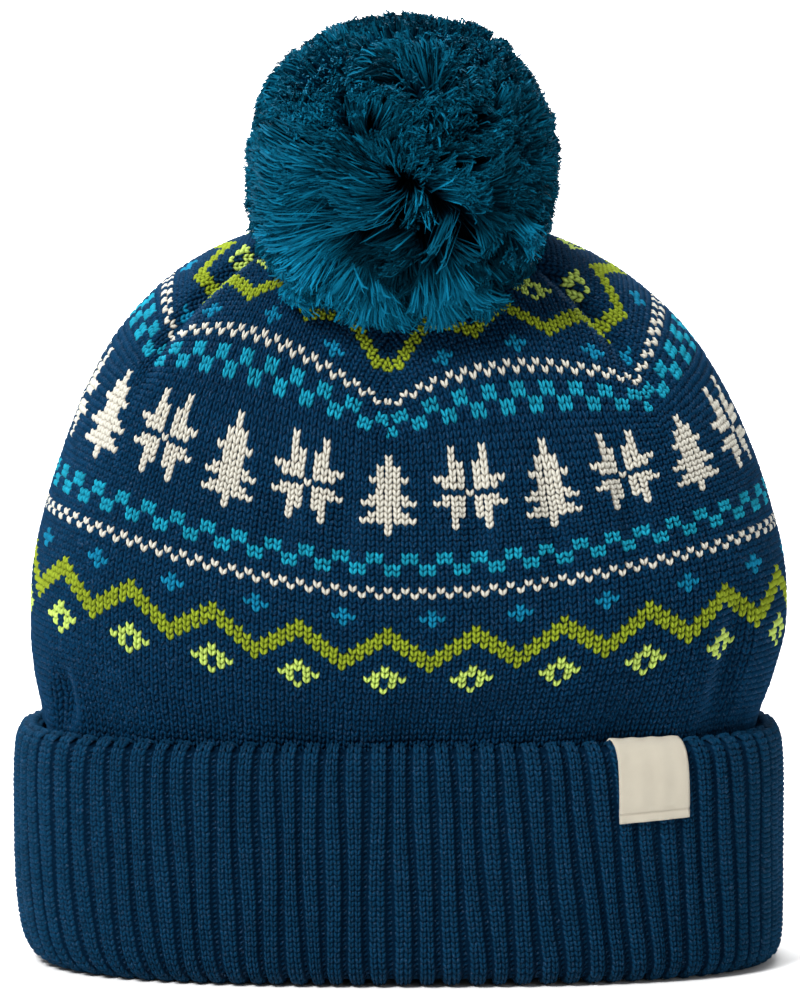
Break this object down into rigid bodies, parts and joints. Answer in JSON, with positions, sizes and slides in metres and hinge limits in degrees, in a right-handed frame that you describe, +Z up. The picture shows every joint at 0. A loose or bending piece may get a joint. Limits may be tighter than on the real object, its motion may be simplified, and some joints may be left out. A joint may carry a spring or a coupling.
{
  "type": "knitted beanie with pompom",
  "caption": "Knitted winter beanie with a turned-up ribbed cuff, a panelled crown with a stranded colour pattern, a yarn pompom and a small bare woven label.",
  "frame": {"origin": "on the resting plane, under the middle of the cuff's mouth", "axes": "+Z up from the cuff's rim to the pompom, +X to the right seen from the front, the front of the hat faces -Y"},
  "size_m": [0.2224, 0.1137, 0.2732],
  "materials": {
    "rib_yarn": "matt ribbed knit, dark navy",
    "ground_yarn": "matt plain knit, dark navy",
    "pompom_yarn": "cut yarn pile, deep teal",
    "label_tape": "plain woven tape, cream",
    "cream_yarn": "matt knit, cream",
    "green_yarn": "matt knit, olive green",
    "lime_yarn": "matt knit, lime",
    "turquoise_yarn": "matt knit, turquoise",
    "blue_yarn": "matt knit, mid blue"
  },
  "bodies": {
    "root": {"cuff": "rib_yarn", "crown": "ground_yarn", "pompom": "pompom_yarn", "label": "label_tape"}
  },
  "joints": []
}
